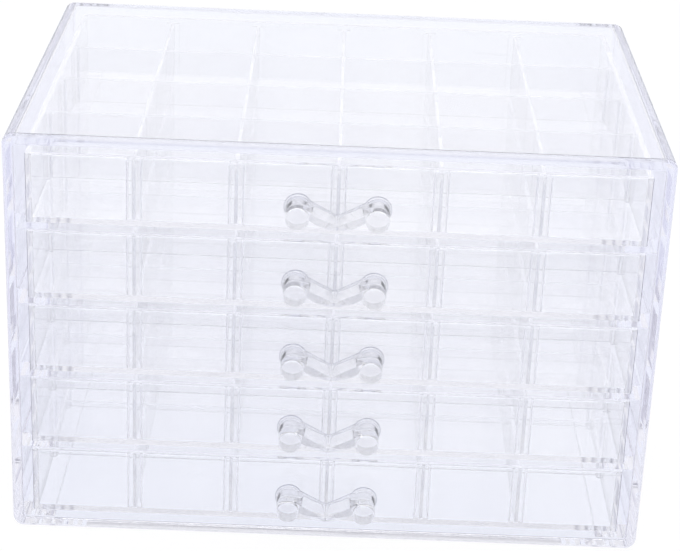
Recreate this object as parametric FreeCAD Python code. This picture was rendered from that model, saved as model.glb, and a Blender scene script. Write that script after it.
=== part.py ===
import FreeCAD, Part
import math
import os

# A clear moulded chest of five shallow drawers for small jewellery and make-up.
# Millimetres.  X runs across the front, Y from the front to the back, Z up.
# The origin is at the middle of the casing's footprint, on the ground.
# The functions below measure depth backwards from the casing's front.

# ---- casing: one moulding, open at the front ----
case_width = 235.0
case_depth = 165.0
case_wall = 4.0               # sides, top, bottom and back
case_edge_radius = 4.0        # long outer edges
case_back_radius = 3.0        # outer edges round the back
case_inner_radius = 1.2       # long inside corners
case_rim_radius = 1.4         # outer edge of the open front
case_lip_radius = 0.5         # inner edge of the open front

# ---- drawers and the ledges that carry them ----
drawer_count = 5
ledge_pitch = 29.2            # from one drawer to the next
ledge_thickness = 2.6
ledge_width = 11.5            # reach of a ledge from the side wall
ledge_setback = 1.5           # from the casing's front edge
first_ledge_rise = 3.0        # top of the lowest ledge above the casing's floor
fence_width = 3.3             # upstand that keeps a drawer straight
fence_height = 3.0

glide_gap = 0.3               # under a drawer, on its ledges
side_gap = 0.6                # between a drawer and each fence
ceiling_gap = 0.6             # between a drawer's rim and the ledge above
back_gap = 1.0                # between a closed drawer and the casing's back

# ---- tray: the drawer's own moulding ----
tray_front = 2.4              # thickness of the front panel
tray_side = 2.0               # thickness of the sides and the back
tray_floor = 1.6
tray_corner_radius = 1.8      # upright edges at the back
tray_front_radius = 0.5       # edges of the front panel's face
guide_rib_thickness = 2.0
guide_rib_reach = 1.5
guide_rib_radius = 1.2        # rounded shoulder on the side away from the strip

# ---- dividers: loose strips that cross with half-lap joints ----
column_count = 6
row_count = 4
divider_thickness = 1.2
divider_height = 22.5
divider_end_gap = 0.3         # between a strip's end and the tray's wall
divider_slot_gap = 0.15       # each side of a strip, in its ribs and its laps
divider_seat_gap = 0.1        # under a strip
lap_gap = 0.3                 # between the bottoms of two crossing notches

# ---- handle: two round stubs and a bridge that sags between them ----
stub_spacing = 28.0
stub_root_radius = 4.45       # just outside the flare
stub_tip_radius = 4.15
stub_length = 12.0
stub_foot = 0.2               # thin round foot against the panel
stub_flare = 0.6              # radius of the hollow flare above the foot
stub_tip_fillet = 0.5
stub_height = 10.0            # axis above the drawer's underside
bridge_length = 10.5          # how far the bridge stands out from the panel
bridge_slope = 28.0           # degrees, of the bridge's top beside the stubs
bridge_dip_radius = 3.5
bridge_sag = 4.0              # lowest point below the stubs' axis
bridge_bottom_radius = 16.5

# ---- worked out from the sizes above ----
case_floor_top = case_wall
first_ledge_top = case_floor_top + first_ledge_rise
case_height = first_ledge_top + drawer_count * ledge_pitch + case_wall
inner_half_width = case_width / 2 - case_wall
inner_depth = case_depth - case_wall
tray_half_width = inner_half_width - fence_width - side_gap
tray_depth = inner_depth - back_gap
tray_height = ledge_pitch - ledge_thickness - glide_gap - ceiling_gap
slot_half_width = divider_thickness / 2 + divider_slot_gap
weld = 0.5                    # how far joined lumps of one moulding run into each other


def point(x, depth, z):
    """A point given by its depth behind the casing's front."""
    return FreeCAD.Vector(x, depth - case_depth / 2, z)


def box(x0, x1, depth0, depth1, z0, z1):
    corner = point(min(x0, x1), min(depth0, depth1), min(z0, z1))
    return Part.makeBox(abs(x1 - x0), abs(depth1 - depth0), abs(z1 - z0), corner)


def straight_edges(shape, axis):
    """Straight edges of the shape that run along one axis."""
    return [edge for edge in shape.Edges
            if isinstance(edge.Curve, Part.Line) and abs(edge.Curve.Direction.dot(axis)) > 0.999]


def edges_at_depth(shape, depth):
    """Edges that lie in the upright plane at one depth."""
    y = point(0, depth, 0).y
    return [edge for edge in shape.Edges
            if abs(edge.BoundBox.YMin - y) < 1e-4 and abs(edge.BoundBox.YMax - y) < 1e-4]


def ledge_top(level):
    return first_ledge_top + level * ledge_pitch


def drawer_bottom(level):
    return ledge_top(level) + glide_gap


# ---------------------------------------------------------------- casing

def casing_shell():
    half = case_width / 2
    ceiling = case_height - case_wall
    outer = box(-half, half, 0, case_depth, 0, case_height)
    outer = outer.makeFillet(case_edge_radius, straight_edges(outer, FreeCAD.Vector(0, 1, 0)))
    outer = outer.makeFillet(case_back_radius, edges_at_depth(outer, case_depth))
    outer = outer.makeFillet(case_rim_radius, edges_at_depth(outer, 0))
    cavity = box(-inner_half_width, inner_half_width, -1, inner_depth, case_floor_top, ceiling)
    cavity = cavity.makeFillet(case_inner_radius, straight_edges(cavity, FreeCAD.Vector(0, 1, 0)))
    shell = outer.cut(cavity)

    def in_mouth(bounds):
        wide = max(abs(bounds.XMin), abs(bounds.XMax)) < inner_half_width + 0.01
        return wide and bounds.ZMin > case_floor_top - 0.01 and bounds.ZMax < ceiling + 0.01

    lip = [edge for edge in edges_at_depth(shell, 0) if in_mouth(edge.BoundBox)]
    return shell.makeFillet(case_lip_radius, lip)


def ledge(level, side):
    """A ledge under one side of a drawer, with the fence that guides the drawer's side."""
    wall = side * (inner_half_width + weld)
    reach = side * (inner_half_width - ledge_width)
    fence_face = side * (inner_half_width - fence_width)
    top = ledge_top(level)
    underside = case_floor_top - weld if level == 0 else top - ledge_thickness
    back = inner_depth + weld
    shelf = box(wall, reach, ledge_setback, back, underside, top)
    fence = box(wall, fence_face, ledge_setback, back, top - weld, top + fence_height)
    return shelf.fuse(fence)


def make_casing():
    ledges = [ledge(level, side) for level in range(drawer_count) for side in (-1, 1)]
    return casing_shell().fuse(ledges).removeSplitter()


# ---------------------------------------------------------------- tray

def column_lines():
    """Middle of each front-to-back strip, from left to right."""
    inside = 2 * (tray_half_width - tray_side)
    pitch = inside / column_count
    return [-inside / 2 + pitch * count for count in range(1, column_count)]


def row_lines():
    """Middle of each side-to-side strip, from the front to the back."""
    inside = tray_depth - tray_front - tray_side
    pitch = inside / row_count
    return [tray_front + pitch * count for count in range(1, row_count)]


def rib_pair(line, wall, inward, along, bottom):
    """Two upright ribs that hold the end of one strip against a wall of the tray."""
    root = wall - inward * weld
    tip = wall + inward * guide_rib_reach
    top = bottom + divider_height
    ribs = []
    for side in (-1, 1):
        near = line + side * slot_half_width
        far = near + side * guide_rib_thickness
        if along == "x":
            rib = box(near, far, root, tip, bottom - weld, top)
            shoulder = point(far, tip, top)
        else:
            rib = box(root, tip, near, far, bottom - weld, top)
            shoulder = point(tip, far, top)
        upright = [edge for edge in straight_edges(rib, FreeCAD.Vector(0, 0, 1))
                   if edge.Vertexes[0].Point.distanceToPoint(shoulder) < 1e-4
                   or edge.Vertexes[-1].Point.distanceToPoint(shoulder) < 1e-4]
        ribs.append(rib.makeFillet(guide_rib_radius, upright))
    return ribs


def make_tray(level):
    bottom = drawer_bottom(level)
    floor = bottom + tray_floor
    half = tray_half_width
    tray = box(-half, half, 0, tray_depth, bottom, bottom + tray_height)
    back_corners = [edge for edge in straight_edges(tray, FreeCAD.Vector(0, 0, 1))
                    if edge.CenterOfMass.y > 0]
    tray = tray.makeFillet(tray_corner_radius, back_corners)
    tray = tray.makeFillet(tray_front_radius, edges_at_depth(tray, 0))
    inner_half = half - tray_side
    inner_back = tray_depth - tray_side
    pocket = box(-inner_half, inner_half, tray_front, inner_back, floor, bottom + tray_height + 1)
    tray = tray.cut(pocket)
    ribs = []
    for x in column_lines():
        ribs += rib_pair(x, tray_front, 1, "x", floor)
        ribs += rib_pair(x, inner_back, -1, "x", floor)
    for y in row_lines():
        ribs += rib_pair(y, -inner_half, 1, "y", floor)
        ribs += rib_pair(y, inner_half, -1, "y", floor)
    return tray.fuse(ribs).removeSplitter()


# ---------------------------------------------------------------- dividers

def make_long_divider(level, x):
    """A front-to-back strip, notched from above where the others cross it."""
    bottom = drawer_bottom(level) + tray_floor + divider_seat_gap
    top = bottom + divider_height
    front = tray_front + divider_end_gap
    back = tray_depth - tray_side - divider_end_gap
    half = divider_thickness / 2
    strip = box(x - half, x + half, front, back, bottom, top)
    notch_bottom = (bottom + top - lap_gap) / 2
    for y in row_lines():
        strip = strip.cut(box(x - half - 1, x + half + 1, y - slot_half_width, y + slot_half_width,
                              notch_bottom, top + 1))
    return strip


def make_cross_divider(level, y):
    """A side-to-side strip, notched from below, so that it drops over the others."""
    bottom = drawer_bottom(level) + tray_floor + divider_seat_gap
    top = bottom + divider_height
    reach = tray_half_width - tray_side - divider_end_gap
    half = divider_thickness / 2
    strip = box(-reach, reach, y - half, y + half, bottom, top)
    notch_top = (bottom + top + lap_gap) / 2
    for x in column_lines():
        strip = strip.cut(box(x - slot_half_width, x + slot_half_width, y - half - 1, y + half + 1,
                              bottom - 1, notch_top))
    return strip


# ---------------------------------------------------------------- handle

def bridge_profile(axis_height):
    """Outline of the bridge: straight flanks that leave the stubs as tangents, a rounded dip
    between them and a bowed underside."""
    slope = math.radians(bridge_slope)
    stub_x = stub_spacing / 2
    taper = (stub_root_radius - stub_tip_radius) / (stub_length - stub_foot - stub_flare)
    stub_radius = stub_tip_radius + taper * (stub_length - bridge_length)
    tangent_x = stub_x - stub_radius * math.sin(slope)
    tangent_z = stub_radius * math.cos(slope)
    dip_x = bridge_dip_radius * math.sin(slope)
    dip_end_z = tangent_z - (tangent_x - dip_x) * math.tan(slope)
    dip_z = dip_end_z - bridge_dip_radius * (1 - math.cos(slope))
    bow = bridge_bottom_radius - math.sqrt(bridge_bottom_radius ** 2 - tangent_x ** 2)

    def at(x, z):
        return point(x, 0, axis_height + z)

    lines = [
        Part.makeLine(at(-tangent_x, tangent_z), at(-dip_x, dip_end_z)),
        Part.Arc(at(-dip_x, dip_end_z), at(0, dip_z), at(dip_x, dip_end_z)).toShape(),
        Part.makeLine(at(dip_x, dip_end_z), at(tangent_x, tangent_z)),
        Part.makeLine(at(tangent_x, tangent_z), at(tangent_x, bow - bridge_sag)),
        Part.Arc(at(tangent_x, bow - bridge_sag), at(0, -bridge_sag), at(-tangent_x, bow - bridge_sag)).toShape(),
        Part.makeLine(at(-tangent_x, bow - bridge_sag), at(-tangent_x, tangent_z)),
    ]
    return Part.Face(Part.Wire(lines))


def make_stub(x, axis_height):
    """A slightly tapered round stub on a flared foot, with a softened tip."""
    foot_radius = stub_root_radius + stub_flare
    flare_end = stub_foot + stub_flare
    halfway = stub_flare * math.sqrt(0.5)

    def at(radius, outward):
        return point(x + radius, -outward, axis_height)

    outline = [
        Part.makeLine(at(0, 0), at(foot_radius, 0)),
        Part.makeLine(at(foot_radius, 0), at(foot_radius, stub_foot)),
        Part.Arc(at(foot_radius, stub_foot), at(foot_radius - halfway, flare_end - halfway),
                 at(stub_root_radius, flare_end)).toShape(),
        Part.makeLine(at(stub_root_radius, flare_end), at(stub_tip_radius, stub_length)),
        Part.makeLine(at(stub_tip_radius, stub_length), at(0, stub_length)),
        Part.makeLine(at(0, stub_length), at(0, 0)),
    ]
    stub = Part.Face(Part.Wire(outline)).revolve(at(0, 0), FreeCAD.Vector(0, 1, 0), 360)
    return stub.makeFillet(stub_tip_fillet, edges_at_depth(stub, -stub_length))


def make_handle(level):
    axis_height = drawer_bottom(level) + stub_height
    stubs = [make_stub(side * stub_spacing / 2, axis_height) for side in (-1, 1)]
    bridge = bridge_profile(axis_height).extrude(FreeCAD.Vector(0, -bridge_length, 0))
    return bridge.fuse(stubs).removeSplitter()


# ---------------------------------------------------------------- all pieces

def make_parts():
    parts = {"casing": make_casing()}
    for number in range(1, drawer_count + 1):
        level = drawer_count - number      # drawer 1 is the top one
        name = f"drawer_{number}"
        parts[f"{name}_tray"] = make_tray(level)
        parts[f"{name}_handle"] = make_handle(level)
        for count, x in enumerate(column_lines(), start=1):
            parts[f"{name}_long_divider_{count}"] = make_long_divider(level, x)
        for count, y in enumerate(row_lines(), start=1):
            parts[f"{name}_cross_divider_{count}"] = make_cross_divider(level, y)
    return parts


os.makedirs("parts", exist_ok=True)
for name, shape in make_parts().items():
    shape.exportStep(f"parts/{name}.step")
    print(f"{name:28s} solids {len(shape.Solids)}  valid {shape.isValid()}  volume {shape.Volume / 1000:8.2f} cm3")
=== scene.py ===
import math

import bpy
from mathutils import Matrix, Vector


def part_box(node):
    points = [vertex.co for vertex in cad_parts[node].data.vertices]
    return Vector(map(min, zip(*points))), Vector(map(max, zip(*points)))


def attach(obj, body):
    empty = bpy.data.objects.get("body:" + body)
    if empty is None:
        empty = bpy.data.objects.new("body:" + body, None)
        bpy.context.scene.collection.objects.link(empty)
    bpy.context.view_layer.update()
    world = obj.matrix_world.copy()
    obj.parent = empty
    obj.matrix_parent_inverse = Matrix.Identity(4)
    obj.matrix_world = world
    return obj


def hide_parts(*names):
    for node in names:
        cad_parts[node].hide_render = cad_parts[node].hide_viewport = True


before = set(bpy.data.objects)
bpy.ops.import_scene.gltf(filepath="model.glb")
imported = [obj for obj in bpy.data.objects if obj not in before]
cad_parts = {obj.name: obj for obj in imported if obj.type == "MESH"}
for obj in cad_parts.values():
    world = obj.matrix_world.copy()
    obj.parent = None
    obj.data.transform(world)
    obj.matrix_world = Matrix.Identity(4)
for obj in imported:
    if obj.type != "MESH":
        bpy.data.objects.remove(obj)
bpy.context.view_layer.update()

# A clear moulded chest of five shallow drawers.  Metres, X across the front, Y from the
# front to the back, Z up.  The casing, trays and dividers keep their own moulded shapes.
mm = 0.001
drawers = range(1, 6)
panel_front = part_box("drawer_1_tray")[0].y
panel_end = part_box("drawer_1_tray")[1].x

# ---- handle: two round stubs and a bridge that sags between them ----
handle_sunk = 0.3 * mm                  # how far a handle's foot is cemented into the panel
stub_spacing = 28.0 * mm
stub_root_radius = 4.45 * mm            # beside the flare at the panel
stub_tip_radius = 4.15 * mm
stub_foot = 0.2 * mm                    # thin round foot against the panel
stub_flare = 0.6 * mm                   # radius of the hollow flare above the foot
stub_length = 12.0 * mm
stub_tip_rounding = 0.5 * mm
stub_height = 10.0 * mm                 # axis above the drawer's underside
bridge_length = 10.5 * mm
bridge_slope = math.radians(28.0)
bridge_dip_radius = 3.5 * mm
bridge_sag = 4.0 * mm
bridge_bottom_radius = 16.5 * mm
stub_sides = 128
bow_sides = 256
flare_steps = 8
tip_steps = 6
dip_steps = 10
smooth_angle = math.radians(30)         # edges blunter than this are shaded smooth
hair = 0.01 * mm                        # slack when edges and faces are picked by their place

# ---- clear plastics ----
lavender = (0.60, 0.58, 0.80)           # what is left of white light deep inside the plastic
shadow_tint = (0.98, 0.98, 0.985)       # light that one face lets through into the shade
cloud_tones = [(0.35, (0.985, 0.986, 0.992)), (0.65, (1.0, 1.0, 1.0))]
dust_tone = (0.90, 0.90, 0.91)
side_wall_face = 113.3 * mm             # inner face of a side wall, from the middle
# painted shade: a darker lavender painted into the casing's side walls
side_wall_painted_shade = (0.925, 0.92, 0.975)
# painted shade: a thin dark line painted round each handle's foot where it meets the panel
foot_shade_middle = panel_front + 0.015 * mm
foot_shade_half_width = 0.265 * mm
foot_painted_shade = (0.42, 0.42, 0.48)
# painted shade: a dark line painted on the rounded upright ends of each drawer's front panel
panel_end_start = panel_end - 0.3 * mm
panel_rounding_back = panel_front + 0.6 * mm
panel_end_painted_shade = (0.12, 0.12, 0.17)
casing_haze = (0.76, 0.77, 0.865)
tray_haze = (0.94, 0.947, 0.965)
divider_haze = (0.88, 0.88, 0.93)

# ---- camera ----
camera_place = Vector((-0.0019, -0.7285, 0.3950))
camera_azimuth = math.radians(0.32)
camera_pitch = math.radians(23.92)      # down
camera_roll = math.radians(2.42)
camera_lens = 105.2                     # mm
camera_sensor = 36.0                    # mm wide

# ---- studio: tones that the clear plastic mirrors and bends, by the height of the direction ----
low_white = (0.98, 0.98, 1.0)
grey_ring = (0.50, 0.50, 0.53)
bright_band = (2.6, 2.6, 2.6)
high_white = (1.0, 1.0, 1.0)
dark_spot = (0.15, 0.15, 0.17)
studio_climb = [(0.0, low_white), (0.50, low_white), (0.58, grey_ring), (0.74, grey_ring),
                (0.76, bright_band), (0.83, bright_band), (0.85, high_white), (0.945, high_white),
                (0.955, dark_spot)]
studio_front = 0.80                     # share of the tone that is left behind the camera
studio_front_fade = (-0.5, 0.3)         # from there to full tone, by how far back it points
studio_sides = 0.90                     # share of the tone that is left at the far left and right
studio_side_fade = (0.3, 0.5)           # from full tone to there, by how far sideways it points

# ---- floor and lamp ----
floor_size = 12.0
floor_gap = 0.4 * mm                    # keeps the floor and the underside from lying face to face
floor_colour = (0.85, 0.85, 0.86)
floor_glow = 0.9                        # share of white that is the floor's own; the rest takes shadow
floor_half_sweep = 0.5                  # the sweep runs this far to the front and to the back
floor_sweep = [(0.25, (0.69, 0.71, 0.83)), (0.50, (0.93, 0.955, 1.03))]
floor_side_fade = (0.25, 0.6)
white = (1.0, 1.0, 1.0)
lamp_place = Vector((0.0, -0.1, 1.3))
lamp_target = Vector((0.0, 0.0, 0.08))
lamp_side = 0.9
lamp_power = 12.5
light_bounces = 64                      # light crosses many clear walls before it gets out


# ---------------------------------------------------------------- node helpers

def add_node(tree, kind, **settings):
    node = tree.nodes.new(kind)
    for key, value in settings.items():
        setattr(node, key, value)
    return node


def feed(tree, socket, value):
    """Gives a socket a number or a colour, or joins another node's output to it."""
    if isinstance(value, bpy.types.NodeSocket):
        tree.links.new(value, socket)
    else:
        socket.default_value = value


def calculate(tree, operation, *values):
    node = add_node(tree, "ShaderNodeMath", operation=operation)
    for socket, value in zip(node.inputs, values):
        feed(tree, socket, value)
    return node.outputs["Value"]


def mix(tree, kind, factor, first, second):
    """A blend of two numbers (FLOAT) or two colours (RGBA)."""
    node = add_node(tree, "ShaderNodeMix", data_type=kind)
    feed(tree, node.inputs["Factor"], factor)
    feed(tree, node.inputs["A"], first)
    feed(tree, node.inputs["B"], second)
    return node.outputs["Result"]


def mix_shaders(tree, factor, first, second):
    node = add_node(tree, "ShaderNodeMixShader")
    feed(tree, node.inputs["Fac"], factor)
    feed(tree, node.inputs[1], first)
    feed(tree, node.inputs[2], second)
    return node.outputs["Shader"]


def map_range(tree, value, low, high, at_low=0.0, at_high=1.0):
    """Turns a value between low and high into one between at_low and at_high."""
    node = add_node(tree, "ShaderNodeMapRange")
    feed(tree, node.inputs["Value"], value)
    feed(tree, node.inputs["From Min"], low)
    feed(tree, node.inputs["From Max"], high)
    feed(tree, node.inputs["To Min"], at_low)
    feed(tree, node.inputs["To Max"], at_high)
    return node.outputs["Result"]


def ramp(tree, factor, stops):
    """A colour ramp through a list of places and colours."""
    node = add_node(tree, "ShaderNodeValToRGB")
    elements = node.color_ramp.elements
    elements.remove(elements[-1])
    first_place, first_colour = stops[0]
    elements[0].position = first_place
    elements[0].color = (*first_colour, 1.0)
    for place, colour in stops[1:]:
        elements.new(place).color = (*colour, 1.0)
    feed(tree, node.inputs["Fac"], factor)
    return node.outputs["Color"]


def dim(tree, colour, share):
    node = add_node(tree, "ShaderNodeVectorMath", operation="SCALE")
    feed(tree, node.inputs[0], colour)
    feed(tree, node.inputs["Scale"], share)
    return node.outputs["Vector"]


def axes(tree, coordinates):
    """The X, Y and Z of the surface's own coordinates, or of the direction in a world."""
    place = add_node(tree, "ShaderNodeTexCoord")
    split = add_node(tree, "ShaderNodeSeparateXYZ")
    feed(tree, split.inputs["Vector"], place.outputs[coordinates])
    return split.outputs


def stretched_place(tree, stretch):
    """The surface's own coordinates, drawn out along the piece."""
    place = add_node(tree, "ShaderNodeTexCoord")
    drawn = add_node(tree, "ShaderNodeMapping")
    drawn.inputs["Scale"].default_value = stretch
    feed(tree, drawn.inputs["Vector"], place.outputs["Object"])
    return drawn.outputs["Vector"]


def noise(tree, place, scale, detail):
    node = add_node(tree, "ShaderNodeTexNoise")
    feed(tree, node.inputs["Vector"], place)
    feed(tree, node.inputs["Scale"], scale)
    feed(tree, node.inputs["Detail"], detail)
    return node.outputs["Fac"]


def new_material(name):
    material = bpy.data.materials.new(name)
    material.use_nodes = True
    material.node_tree.nodes.clear()
    return material


def new_group(name, inputs, outputs):
    """A node group with numbers for inputs; gives the tree, its inputs and its end node."""
    group = bpy.data.node_groups.new(name, "ShaderNodeTree")
    for label, value in inputs.items():
        socket = group.interface.new_socket(label, in_out="INPUT", socket_type="NodeSocketFloat")
        socket.default_value = value
    for label, kind in outputs.items():
        group.interface.new_socket(label, in_out="OUTPUT", socket_type=kind)
    return group, add_node(group, "NodeGroupInput").outputs, add_node(group, "NodeGroupOutput")


def place_group(tree, group, **values):
    node = add_node(tree, "ShaderNodeGroup")
    node.node_tree = group
    for label, value in values.items():
        node.inputs[label.replace("_", " ")].default_value = value
    return node


# ---------------------------------------------------------------- finishes that plastics share

def make_flow_ripple():
    """The faint waviness that a moulding keeps from the way the plastic ran and shrank."""
    group, given, out = new_group("flow ripple",
                                  {"Broad Scale": 22.0, "Fine Scale": 90.0, "Fine Share": 0.2},
                                  {"Height": "NodeSocketFloat"})
    place = stretched_place(group, (1.0, 1.0, 0.6))
    broad = noise(group, place, given["Broad Scale"], detail=1.0)
    fine = noise(group, place, given["Fine Scale"], detail=2.0)
    feed(group, out.inputs["Height"], mix(group, "FLOAT", given["Fine Share"], broad, fine))
    return group


def make_handling_marks():
    """Hairline scratches and faint smudges: a roughness that changes over the surface."""
    group, given, out = new_group("handling marks",
                                  {"Clean": 0.02, "Smudged": 0.06, "Scratched": 0.25},
                                  {"Roughness": "NodeSocketFloat"})
    smudge = noise(group, stretched_place(group, (1.0, 1.0, 1.0)), scale=38.0, detail=3.0)
    spread = map_range(group, smudge, 0.45, 0.75, given["Clean"], given["Smudged"])
    scratch = noise(group, stretched_place(group, (0.06, 0.12, 1.0)), scale=600.0, detail=0.0)
    thin = map_range(group, scratch, 0.80, 0.84)
    feed(group, out.inputs["Roughness"], mix(group, "FLOAT", thin, spread, given["Scratched"]))
    return group


def make_milky_flow():
    """Cloudy streaks where the plastic is a little less clear, with fine dust."""
    group, given, out = new_group("milky flow", {"Cloud Scale": 14.0, "Dust Scale": 900.0},
                                  {"Color": "NodeSocketColor"})
    place = stretched_place(group, (1.0, 1.0, 0.5))
    cloud = noise(group, place, given["Cloud Scale"], detail=3.0)
    dust = add_node(group, "ShaderNodeTexVoronoi")
    feed(group, dust.inputs["Vector"], place)
    feed(group, dust.inputs["Scale"], given["Dust Scale"])
    speck = map_range(group, dust.outputs["Distance"], 0.10, 0.06)
    dusted = mix(group, "RGBA", speck, ramp(group, cloud, cloud_tones), (*dust_tone, 1.0))
    feed(group, out.inputs["Color"], dusted)
    return group


def make_wall_shade():
    """A mask that is one in the outer side walls, where a darker lavender shade is painted, and nought
    between them.
    """
    group, given, out = new_group("wall tint", {"Wall Face": side_wall_face},
                                  {"Mask": "NodeSocketFloat"})
    apart = calculate(group, "ABSOLUTE", axes(group, "Object")["X"])
    past = calculate(group, "GREATER_THAN", apart, given["Wall Face"])
    feed(group, out.inputs["Mask"], past)
    return group


def make_foot_shade_line():
    """A mask that is one in a thin line round a handle's foot where it meets its panel, where a dark
    shade is painted.
    """
    group, given, out = new_group("cement line",
                                  {"Middle": foot_shade_middle, "Half Width": foot_shade_half_width},
                                  {"Mask": "NodeSocketFloat"})
    depth = axes(group, "Object")["Y"]
    near = calculate(group, "COMPARE", depth, given["Middle"], given["Half Width"])
    feed(group, out.inputs["Mask"], near)
    return group


def make_panel_end_shade():
    """A mask that is one on the rounded upright ends of a drawer's front panel, where a dark shade is
    painted.
    """
    group, given, out = new_group("panel ends", {"End Start": panel_end_start,
                                                 "Rounding Back": panel_rounding_back},
                                  {"Mask": "NodeSocketFloat"})
    place = axes(group, "Object")
    apart = calculate(group, "ABSOLUTE", place["X"])
    past = calculate(group, "GREATER_THAN", apart, given["End Start"])
    ahead = calculate(group, "LESS_THAN", place["Y"], given["Rounding Back"])
    feed(group, out.inputs["Mask"], calculate(group, "MULTIPLY", past, ahead))
    return group


# ---------------------------------------------------------------- clear plastics

def make_clear_plastic(name, bend, density, clean, smudged, scratched, ripple_depth, broad_scale,
                       haze, haze_colour, tinted_part=None, tint=None):
    """Polished clear plastic: a smooth dielectric that takes a little colour with depth, under a
    faint milky haze on its outer skin."""
    material = new_material(name)
    tree = material.node_tree
    plastic = add_node(tree, "ShaderNodeBsdfPrincipled")
    plastic.inputs["IOR"].default_value = bend
    plastic.inputs["Transmission Weight"].default_value = 1.0
    colour = place_group(tree, milky_flow).outputs["Color"]
    # the tinted part is painted shade: darker side walls, dark panel ends, a dark line round a handle's
    # foot
    if tinted_part:
        part = place_group(tree, tinted_part)
        colour = mix(tree, "RGBA", part.outputs["Mask"], colour, (*tint, 1.0))
    feed(tree, plastic.inputs["Base Color"], colour)
    marks = place_group(tree, handling_marks, Clean=clean, Smudged=smudged, Scratched=scratched)
    feed(tree, plastic.inputs["Roughness"], marks.outputs["Roughness"])
    ripple = place_group(tree, flow_ripple, Broad_Scale=broad_scale, Fine_Scale=4 * broad_scale)
    relief = add_node(tree, "ShaderNodeBump")
    relief.inputs["Distance"].default_value = ripple_depth
    feed(tree, relief.inputs["Height"], ripple.outputs["Height"])
    feed(tree, plastic.inputs["Normal"], relief.outputs["Normal"])
    skin = add_node(tree, "ShaderNodeBsdfDiffuse")
    skin.inputs["Color"].default_value = (*haze_colour, 1.0)
    side = add_node(tree, "ShaderNodeNewGeometry")
    outside = calculate(tree, "MULTIPLY_ADD", side.outputs["Backfacing"], -haze, haze)
    hazed = mix_shaders(tree, outside, plastic.outputs["BSDF"], skin.outputs["BSDF"])
    shade = add_node(tree, "ShaderNodeBsdfTransparent")
    shade.inputs["Color"].default_value = (*shadow_tint, 1.0)
    path = add_node(tree, "ShaderNodeLightPath")
    surface = mix_shaders(tree, path.outputs["Is Shadow Ray"], hazed, shade.outputs["BSDF"])
    depth = add_node(tree, "ShaderNodeVolumeAbsorption")
    depth.inputs["Color"].default_value = (*lavender, 1.0)
    depth.inputs["Density"].default_value = density
    out = add_node(tree, "ShaderNodeOutputMaterial")
    feed(tree, out.inputs["Surface"], surface)
    feed(tree, out.inputs["Volume"], depth.outputs["Volume"])
    return material


flow_ripple = make_flow_ripple()
handling_marks = make_handling_marks()
milky_flow = make_milky_flow()
wall_shade = make_wall_shade()
foot_shade_line = make_foot_shade_line()
panel_end_shade = make_panel_end_shade()
plastics = {
    "casing_plastic": make_clear_plastic(
        "casing clear plastic", bend=1.49, density=0.8, clean=0.01, smudged=0.03, scratched=0.12,
        ripple_depth=0.010 * mm, broad_scale=14.0, haze=0.06, haze_colour=casing_haze,
        tinted_part=wall_shade, tint=side_wall_painted_shade),
    "tray_plastic": make_clear_plastic(
        "tray clear plastic", bend=1.46, density=0.8, clean=0.02, smudged=0.05, scratched=0.12,
        ripple_depth=0.010 * mm, broad_scale=22.0, haze=0.11, haze_colour=tray_haze,
        tinted_part=panel_end_shade, tint=panel_end_painted_shade),
    "divider_plastic": make_clear_plastic(
        "divider clear plastic", bend=1.38, density=0.5, clean=0.04, smudged=0.08, scratched=0.15,
        ripple_depth=0.010 * mm, broad_scale=30.0, haze=0.10, haze_colour=divider_haze),
    "handle_plastic": make_clear_plastic(
        "handle clear plastic", bend=1.49, density=1.0, clean=0.0, smudged=0.01, scratched=0.10,
        ripple_depth=0.002 * mm, broad_scale=90.0, haze=0.01, haze_colour=tray_haze,
        tinted_part=foot_shade_line, tint=foot_painted_shade),
}


def dress_cad_nodes():
    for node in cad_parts.values():
        slot = node.material_slots[0]
        slot.material = plastics[slot.material.name.split(".")[0]]


# ---------------------------------------------------------------- shaping helpers

def only(thing):
    """Makes one object the selected and active one."""
    for other in bpy.context.selected_objects:
        other.select_set(False)
    thing.select_set(True)
    bpy.context.view_layer.objects.active = thing


def settle(thing):
    """Puts an object's place, turn and size into its mesh."""
    only(thing)
    bpy.ops.object.transform_apply(location=True, rotation=True, scale=True)


def pick_none(thing, kind):
    """Sets what is picked, edges or faces, and picks none of them."""
    only(thing)
    bpy.ops.object.mode_set(mode="EDIT")
    bpy.ops.mesh.select_mode(type=kind)
    bpy.ops.mesh.select_all(action="DESELECT")
    bpy.ops.object.mode_set(mode="OBJECT")


def pick_edges(thing, wanted):
    """Picks the edges whose two ends both pass a test, and opens the mesh for editing."""
    pick_none(thing, "EDGE")
    mesh = thing.data
    for edge in mesh.edges:
        ends = [mesh.vertices[i].co for i in edge.vertices]
        edge.select = all(wanted(end) for end in ends)
    bpy.ops.object.mode_set(mode="EDIT")


def pick_faces(thing, wanted):
    """Picks the faces whose centre passes a test, and opens the mesh for editing."""
    pick_none(thing, "FACE")
    for face in thing.data.polygons:
        face.select = wanted(face.center)
    bpy.ops.object.mode_set(mode="EDIT")


def round_picked(radius, steps):
    bpy.ops.mesh.bevel(offset=radius, segments=steps, profile=0.5, affect="EDGES")
    bpy.ops.object.mode_set(mode="OBJECT")


def extrude_picked(back):
    bpy.ops.mesh.extrude_region_move(TRANSFORM_OT_translate={"value": (0, back, 0)})


def widen_picked(factor, centre):
    bpy.ops.transform.resize(value=(factor, 1, factor), center_override=centre)


def combine(thing, other, operation):
    """Joins or trims two solids, and keeps the first."""
    only(thing)
    cut = thing.modifiers.new("combine", "BOOLEAN")
    cut.object = other
    cut.operation = operation
    cut.solver = "EXACT"
    bpy.ops.object.modifier_apply(modifier=cut.name)
    bpy.data.objects.remove(other)


def copy_moved(thing, step):
    """A copy with its own mesh, with the step between the two put into that mesh."""
    twin = thing.copy()
    twin.data = thing.data.copy()
    twin.data.transform(Matrix.Translation(step))
    thing.users_collection[0].objects.link(twin)
    return twin


# ---------------------------------------------------------------- handles

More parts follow.
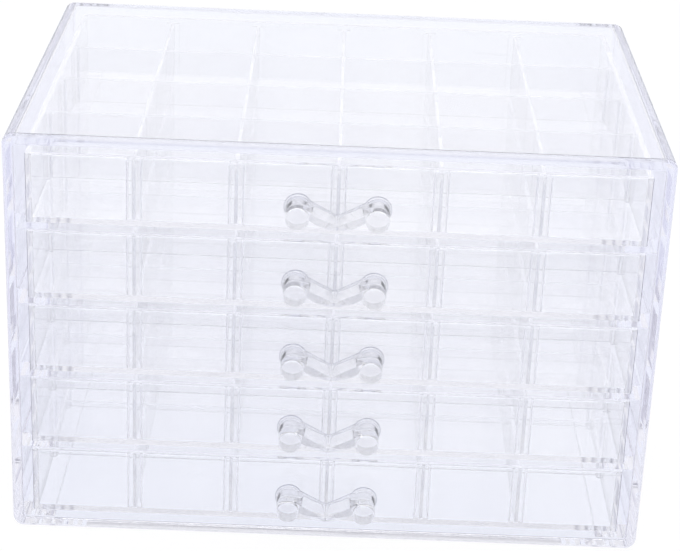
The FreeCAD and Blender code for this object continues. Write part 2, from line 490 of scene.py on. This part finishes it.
def make_stub(x, axis_height):
    """A slightly tapered round stub with a softened tip and a flared foot, sunk into the panel."""
    root = panel_front - stub_foot - stub_flare
    length = stub_length - stub_foot - stub_flare
    bpy.ops.mesh.primitive_cone_add(vertices=stub_sides, radius1=stub_root_radius,
                                    radius2=stub_tip_radius, depth=length, end_fill_type="NGON",
                                    rotation=(math.pi / 2, 0, 0),
                                    location=(x, root - length / 2, axis_height))
    stub = bpy.context.object
    settle(stub)
    pick_faces(stub, lambda centre: centre.y > root - hair)
    radius = stub_root_radius
    back = 0.0
    for step in range(1, flare_steps + 1):
        turn = math.pi / 2 * step / flare_steps
        new_radius = stub_root_radius + stub_flare * (1 - math.cos(turn))
        new_back = stub_flare * math.sin(turn)
        extrude_picked(new_back - back)
        widen_picked(new_radius / radius, (x, root + new_back, axis_height))
        radius = new_radius
        back = new_back
    extrude_picked(stub_foot + handle_sunk)
    bpy.ops.object.mode_set(mode="OBJECT")
    tip = panel_front - stub_length
    pick_edges(stub, lambda end: end.y < tip + hair)
    round_picked(stub_tip_rounding, tip_steps)
    return stub


def make_bridge(axis_height):
    """The web between the stubs: a block cut to two slopes that meet in a rounded dip, with a
    bowed underside."""
    taper = (stub_root_radius - stub_tip_radius) / (stub_length - stub_foot - stub_flare)
    stub_radius = stub_tip_radius + taper * (stub_length - bridge_length)
    tangent_x = stub_spacing / 2 - stub_radius * math.sin(bridge_slope)
    tangent_z = axis_height + stub_radius * math.cos(bridge_slope)
    depth = bridge_length + handle_sunk
    block_height = 3 * stub_root_radius
    bpy.ops.mesh.primitive_cube_add(size=1, location=(0, panel_front + handle_sunk - depth / 2,
                                                      axis_height))
    bridge = bpy.context.object
    bridge.scale = (2 * tangent_x, depth, block_height)
    settle(bridge)
    pick_none(bridge, "FACE")
    bpy.ops.object.mode_set(mode="EDIT")
    bpy.ops.mesh.select_all(action="SELECT")
    bpy.ops.mesh.bisect(plane_co=(-tangent_x, 0, tangent_z),
                        plane_no=(math.sin(bridge_slope), 0, math.cos(bridge_slope)),
                        use_fill=True, clear_outer=True)
    bpy.ops.mesh.select_all(action="SELECT")
    bpy.ops.mesh.bisect(plane_co=(0, 0, 0), plane_no=(1, 0, 0), clear_outer=True)
    bpy.ops.object.mode_set(mode="OBJECT")
    twin = bridge.modifiers.new("other half", "MIRROR")
    twin.use_axis[0] = True
    bpy.ops.object.modifier_apply(modifier=twin.name)
    dip = tangent_z - tangent_x * math.tan(bridge_slope)
    pick_edges(bridge, lambda end: abs(end.x) < hair and end.z > dip - hair)
    round_picked(bridge_dip_radius * math.tan(bridge_slope / 2), dip_steps)
    bow_axis = axis_height - bridge_sag + bridge_bottom_radius
    bpy.ops.mesh.primitive_cylinder_add(vertices=bow_sides, radius=bridge_bottom_radius,
                                        depth=4 * depth, rotation=(math.pi / 2, 0, 0),
                                        location=(0, panel_front, bow_axis))
    bow = bpy.context.object
    settle(bow)
    combine(bridge, bow, "INTERSECT")
    return bridge


def make_handle(tray_underside):
    axis_height = tray_underside + stub_height
    handle = make_stub(-stub_spacing / 2, axis_height)
    other_stub = copy_moved(handle, (stub_spacing, 0, 0))
    combine(handle, make_bridge(axis_height), "UNION")
    combine(handle, other_stub, "UNION")
    only(handle)
    bpy.ops.object.shade_smooth_by_angle(angle=smooth_angle)
    handle.data.materials.clear()
    handle.data.materials.append(plastics["handle_plastic"])
    return handle


def fit_handles():
    """One handle is shaped on the first drawer, and each other drawer gets a copy of it."""
    undersides = [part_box(f"drawer_{number}_tray")[0].z for number in drawers]
    first = make_handle(undersides[0])
    handles = [first] + [copy_moved(first, (0, 0, z - undersides[0])) for z in undersides[1:]]
    for number, handle in zip(drawers, handles):
        handle.name = f"drawer_{number}_clear_handle"
        handle.data.name = handle.name
        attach(handle, f"drawer_{number}")
        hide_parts(f"drawer_{number}_handle")


# ---------------------------------------------------------------- studio

def make_camera():
    data = bpy.data.cameras.new("camera")
    data.lens = camera_lens
    data.sensor_width = camera_sensor
    camera = bpy.data.objects.new("camera", data)
    bpy.context.scene.collection.objects.link(camera)
    level = math.cos(camera_pitch)
    ahead = Vector((math.sin(camera_azimuth) * level, math.cos(camera_azimuth) * level,
                    -math.sin(camera_pitch)))
    across = Vector((math.cos(camera_azimuth), -math.sin(camera_azimuth), 0))
    upward = across.cross(ahead)
    turned_across = math.cos(camera_roll) * across + math.sin(camera_roll) * upward
    turned_upward = math.cos(camera_roll) * upward - math.sin(camera_roll) * across
    turn = Matrix((turned_across, turned_upward, -ahead)).transposed()
    camera.matrix_world = Matrix.Translation(camera_place) @ turn.to_4x4()
    bpy.context.scene.camera = camera


def side_share(tree, x, fade):
    """Full tone ahead, less of it at the far left and the far right."""
    apart = calculate(tree, "ABSOLUTE", x)
    return map_range(tree, apart, *fade, 1.0, studio_sides)


def make_world():
    """White to the camera.  The plastic sees it dimmer behind the camera and at the sides, with a
    grey ring, a bright band above the ring and a dark spot straight above."""
    world = bpy.data.worlds.new("white studio")
    bpy.context.scene.world = world
    world.use_nodes = True
    tree = world.node_tree
    tree.nodes.clear()
    direction = axes(tree, "Generated")
    tone = ramp(tree, direction["Z"], studio_climb)
    facing = map_range(tree, direction["Y"], *studio_front_fade, studio_front, 1.0)
    tone = dim(tree, tone, facing)
    tone = dim(tree, tone, side_share(tree, direction["X"], studio_side_fade))
    path = add_node(tree, "ShaderNodeLightPath")
    light = add_node(tree, "ShaderNodeBackground")
    feed(tree, light.inputs["Color"],
         mix(tree, "RGBA", path.outputs["Is Camera Ray"], tone, (*white, 1.0)))
    out = add_node(tree, "ShaderNodeOutputWorld")
    feed(tree, out.inputs["Surface"], light.outputs["Background"])


def make_floor():
    """A pale matt sheet, white to the camera, that the plastic sees dimmer towards the front."""
    bpy.ops.object.select_all(action="DESELECT")
    bpy.ops.mesh.primitive_plane_add(size=floor_size, location=(0, 0, -floor_gap))
    floor = bpy.context.object
    floor.name = "floor"
    material = new_material("pale floor")
    tree = material.node_tree
    matt = add_node(tree, "ShaderNodeBsdfDiffuse")
    matt.inputs["Color"].default_value = (*floor_colour, 1.0)
    place = axes(tree, "Object")
    run = map_range(tree, place["Y"], -floor_half_sweep, floor_half_sweep)
    tone = ramp(tree, run, floor_sweep)
    tone = dim(tree, tone, side_share(tree, place["X"], floor_side_fade))
    path = add_node(tree, "ShaderNodeLightPath")
    bright = add_node(tree, "ShaderNodeEmission")
    feed(tree, bright.inputs["Color"],
         mix(tree, "RGBA", path.outputs["Is Camera Ray"], tone, (*white, 1.0)))
    seen = calculate(tree, "MAXIMUM", path.outputs["Is Camera Ray"], path.outputs["Is Glossy Ray"])
    seen = calculate(tree, "MAXIMUM", seen, path.outputs["Is Transmission Ray"])
    share = calculate(tree, "MULTIPLY", seen, floor_glow)
    out = add_node(tree, "ShaderNodeOutputMaterial")
    feed(tree, out.inputs["Surface"],
         mix_shaders(tree, share, matt.outputs["BSDF"], bright.outputs["Emission"]))
    floor.data.materials.append(material)


def make_lamp():
    """A large soft box overhead that lights the pieces but never shows in them as a bright bar."""
    data = bpy.data.lights.new("overhead soft box", "AREA")
    data.shape = "RECTANGLE"
    data.size = lamp_side
    data.size_y = lamp_side
    data.energy = lamp_power
    lamp = bpy.data.objects.new("overhead soft box", data)
    bpy.context.scene.collection.objects.link(lamp)
    lamp.location = lamp_place
    lamp.rotation_euler = (lamp_target - lamp_place).to_track_quat("-Z", "Y").to_euler()
    lamp.visible_camera = False
    lamp.visible_glossy = False
    lamp.visible_transmission = False


def set_view():
    scene = bpy.context.scene
    scene.view_settings.view_transform = "Standard"
    scene.cycles.max_bounces = light_bounces
    scene.cycles.transmission_bounces = light_bounces
    scene.cycles.glossy_bounces = light_bounces
    scene.cycles.transparent_max_bounces = light_bounces


# ---------------------------------------------------------------- assembly

dress_cad_nodes()
fit_handles()
make_camera()
make_world()
make_floor()
make_lamp()
set_view()
